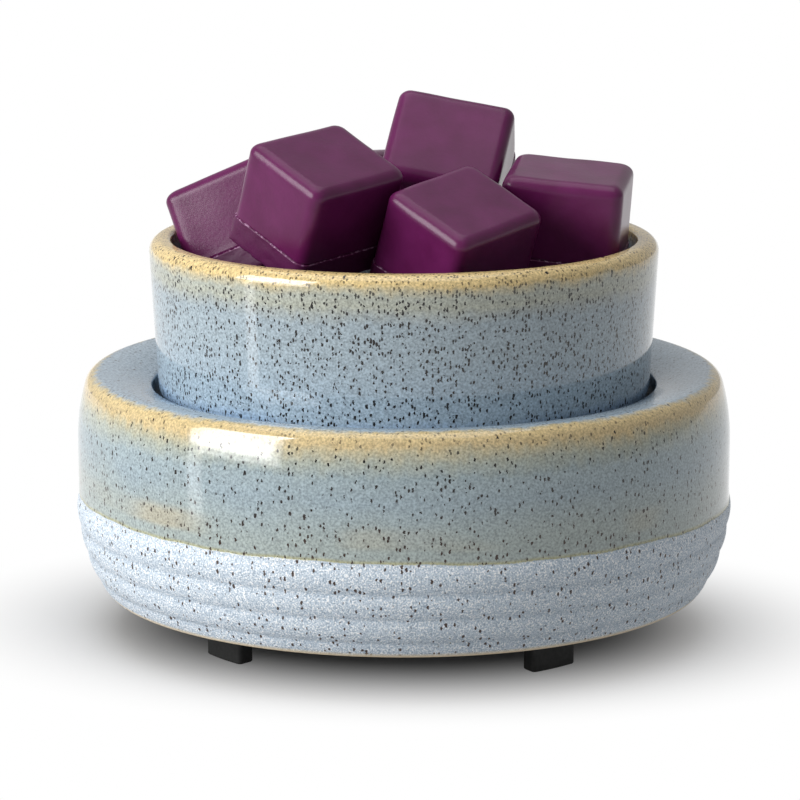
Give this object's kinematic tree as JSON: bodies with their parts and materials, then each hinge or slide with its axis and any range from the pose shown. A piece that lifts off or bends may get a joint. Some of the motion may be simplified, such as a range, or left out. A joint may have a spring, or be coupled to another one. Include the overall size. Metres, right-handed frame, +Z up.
{
  "type": "wax melt warmer",
  "caption": "Electric wax melt warmer: round glazed stoneware body with a hot plate in its dished top and a loose stoneware dish piled with cast wax melts.",
  "frame": {"origin": "on the surface that the feet stand on, under the middle of the body", "axes": "+Z up along the axis of the body and dish, +Y towards the cord inlet at the rear, +X to the right seen from the front"},
  "size_m": [0.1348, 0.1347, 0.1095],
  "materials": {
    "body_stoneware": "gloss celadon glaze with iron specks above, rough matt slip below",
    "dish_stoneware": "gloss pale blue-grey glaze with iron specks, tan rim",
    "black_phenolic": "matt moulded",
    "black_plastic": "fine texture",
    "black_rubber": "matt",
    "silicone": "matt",
    "coated_aluminium": "satin non-stick coat",
    "mica": "flaky satin",
    "resistance_foil": "satin",
    "ceramic_felt": "matt fibre",
    "plated_steel": "zinc plated",
    "tinned_brass": "tinned",
    "glass_fibre_sleeve": "woven, varnished",
    "brown_silicone": "matt",
    "blue_silicone": "matt",
    "clear_nylon": "translucent",
    "wax": "waxy satin"
  },
  "bodies": {
    "base": {"body_shell": "body_stoneware", "heater_bezel": "black_phenolic", "bezel_gasket": "silicone", "base_gasket": "silicone", "hot_plate": "coated_aluminium", "mica_upper": "mica", "mica_lower": "mica", "heating_element": "resistance_foil", "insulation_felt": "ceramic_felt", "press_plate": "plated_steel", "press_nuts": "plated_steel", "fuse_clip": "plated_steel", "fuse_clip_screw": "plated_steel", "base_screws": "plated_steel", "thermal_fuse": "tinned_brass", "fuse_sleeve": "glass_fibre_sleeve", "live_lead": "brown_silicone", "neutral_lead": "blue_silicone", "wire_connectors": "clear_nylon", "base_plate": "black_plastic", "cord_grommet": "black_rubber", "foot_front_right": "black_rubber", "foot_rear_right": "black_rubber", "foot_rear_left": "black_rubber", "foot_front_left": "black_rubber"},
    "dish": {"wax_dish": "dish_stoneware"},
    "wax_bed": {"wax_melt_bed_right": "wax", "wax_melt_bed_left": "wax", "wax_melt_bed_front": "wax", "wax_melt_bed_back": "wax"},
    "melt_front_left": {"wax_melt_front_left": "wax"},
    "melt_front": {"wax_melt_front": "wax"},
    "melt_top": {"wax_melt_top": "wax"},
    "melt_right": {"wax_melt_right": "wax"},
    "melt_left": {"wax_melt_left": "wax"},
    "melt_back": {"wax_melt_back": "wax"}
  },
  "joints": [
    {"name": "dish_lift", "type": "slide", "parent": "base", "child": "dish", "axis": [0, 0, 1], "range_m": [0, 0.06]},
    {"name": "wax_bed_lift", "type": "slide", "parent": "dish", "child": "wax_bed", "axis": [0, 0, 1], "range_m": [0, 0.045]},
    {"name": "melt_front_left_lift", "type": "slide", "parent": "wax_bed", "child": "melt_front_left", "axis": [0, 0, 1], "range_m": [0, 0.05]},
    {"name": "melt_front_lift", "type": "slide", "parent": "wax_bed", "child": "melt_front", "axis": [0.298, -0.298, 0.9069], "range_m": [0, 0.05]},
    {"name": "melt_top_lift", "type": "slide", "parent": "wax_bed", "child": "melt_top", "axis": [0, 0, 1], "range_m": [0, 0.05]},
    {"name": "melt_right_lift", "type": "slide", "parent": "wax_bed", "child": "melt_right", "axis": [0.035, -0.005, 0.9994], "range_m": [0, 0.05]},
    {"name": "melt_left_lift", "type": "slide", "parent": "wax_bed", "child": "melt_left", "axis": [-0.305, 0.147, 0.9409], "range_m": [0, 0.05]},
    {"name": "melt_back_lift", "type": "slide", "parent": "wax_bed", "child": "melt_back", "axis": [-0.087, 0.151, 0.9847], "range_m": [0, 0.05]}
  ]
}
